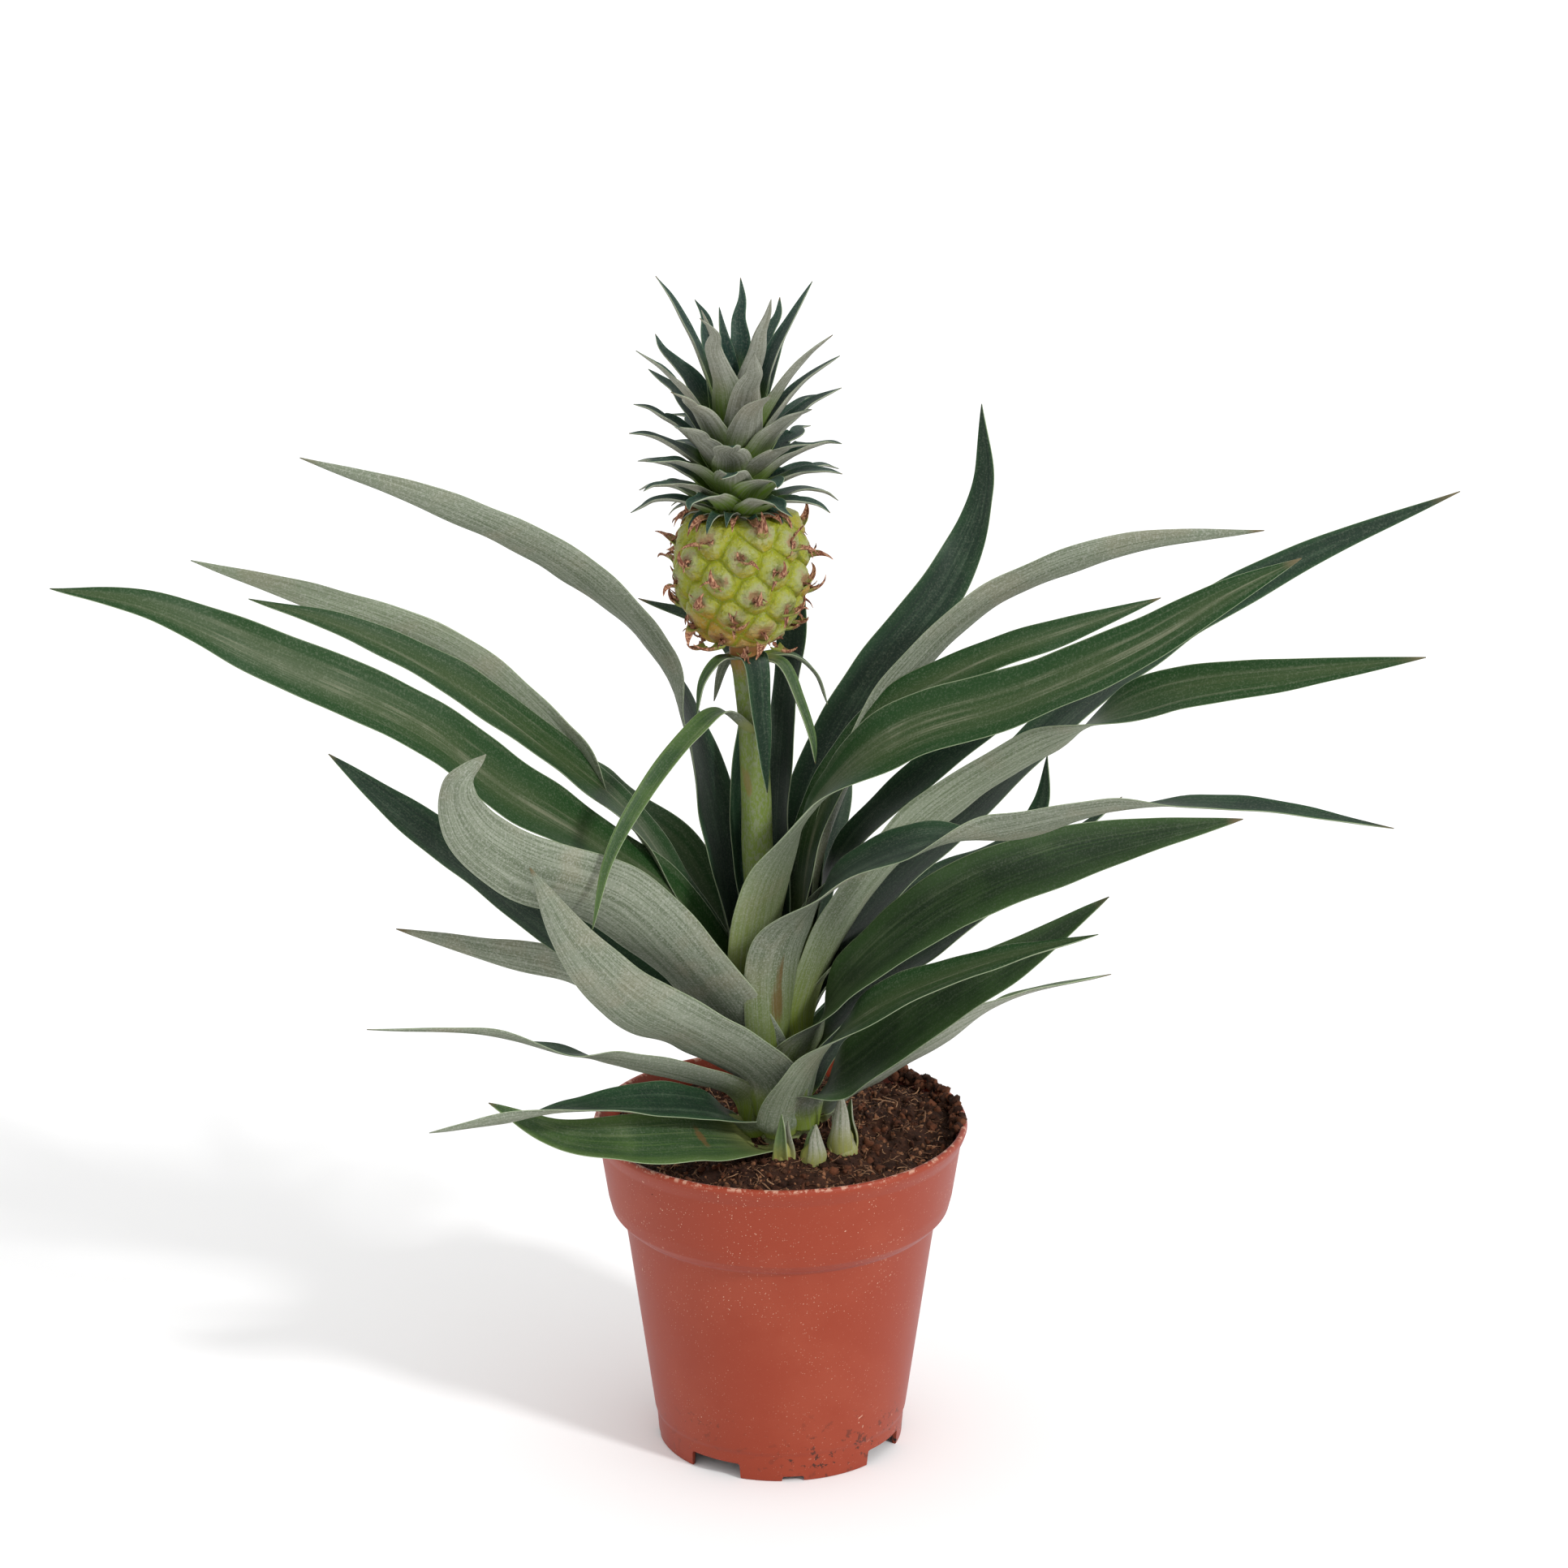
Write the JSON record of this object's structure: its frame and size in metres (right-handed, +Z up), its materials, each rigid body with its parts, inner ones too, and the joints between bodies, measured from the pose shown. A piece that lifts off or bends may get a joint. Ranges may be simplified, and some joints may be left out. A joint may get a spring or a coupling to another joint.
{
  "type": "potted pineapple plant",
  "caption": "Ornamental pineapple plant with arching strap leaves, a small fruit with its crown on a stalk, and young shoots, growing in a round tapered nursery pot of peat.",
  "frame": {"origin": "middle of the pot's base, on the surface it stands on", "axes": "+Z up along the pot's axis; -Y towards the pictured side; +X to the right of that side, along the widest spread of the leaves"},
  "size_m": [0.4364, 0.1959, 0.385],
  "materials": {
    "pot": "matt moulded terracotta-coloured plastic with faint scuffs",
    "soil": "moist dark peat with fibres",
    "stem": "pale green-brown, scaly",
    "stalk": "olive green with grey bloom",
    "leaf": "waxy dark green above, silver grey-green below, with fine lengthwise lines",
    "fruit": "yellow-green, waxy, with dry curled bract tips",
    "crown": "silver grey-green with fine lengthwise lines",
    "offset": "pale grey-green"
  },
  "bodies": {
    "root": {"pot": "pot", "soil": "soil", "stem": "stem", "stalk": "stalk", "leaf_back_tall": "leaf", "leaf_back_hooked": "leaf", "leaf_right_tall": "leaf", "leaf_right_arch": "leaf", "leaf_left_high": "leaf", "leaf_left_grey": "leaf", "leaf_right_inner": "leaf", "leaf_right_short": "leaf", "leaf_right_main": "leaf", "leaf_right_far": "leaf", "leaf_left_green": "leaf", "leaf_right_level": "leaf", "leaf_left_long": "leaf", "leaf_rear_high": "leaf", "leaf_right_twisted": "leaf", "leaf_right_slim": "leaf", "leaf_right_under": "leaf", "leaf_left_dark": "leaf", "leaf_left_broad": "leaf", "leaf_right_broad": "leaf", "leaf_rear_middle": "leaf", "leaf_left_low": "leaf", "leaf_left_front": "leaf", "leaf_rear_low": "leaf", "leaf_left_wavy": "leaf", "leaf_right_lower": "leaf", "leaf_right_front": "leaf", "leaf_right_thin": "leaf", "leaf_left_bent": "leaf", "leaf_left_lowest": "leaf", "fruit": "fruit", "crown": "crown", "offset_left": "offset", "offset_middle": "offset", "offset_right": "offset"}
  },
  "joints": []
}
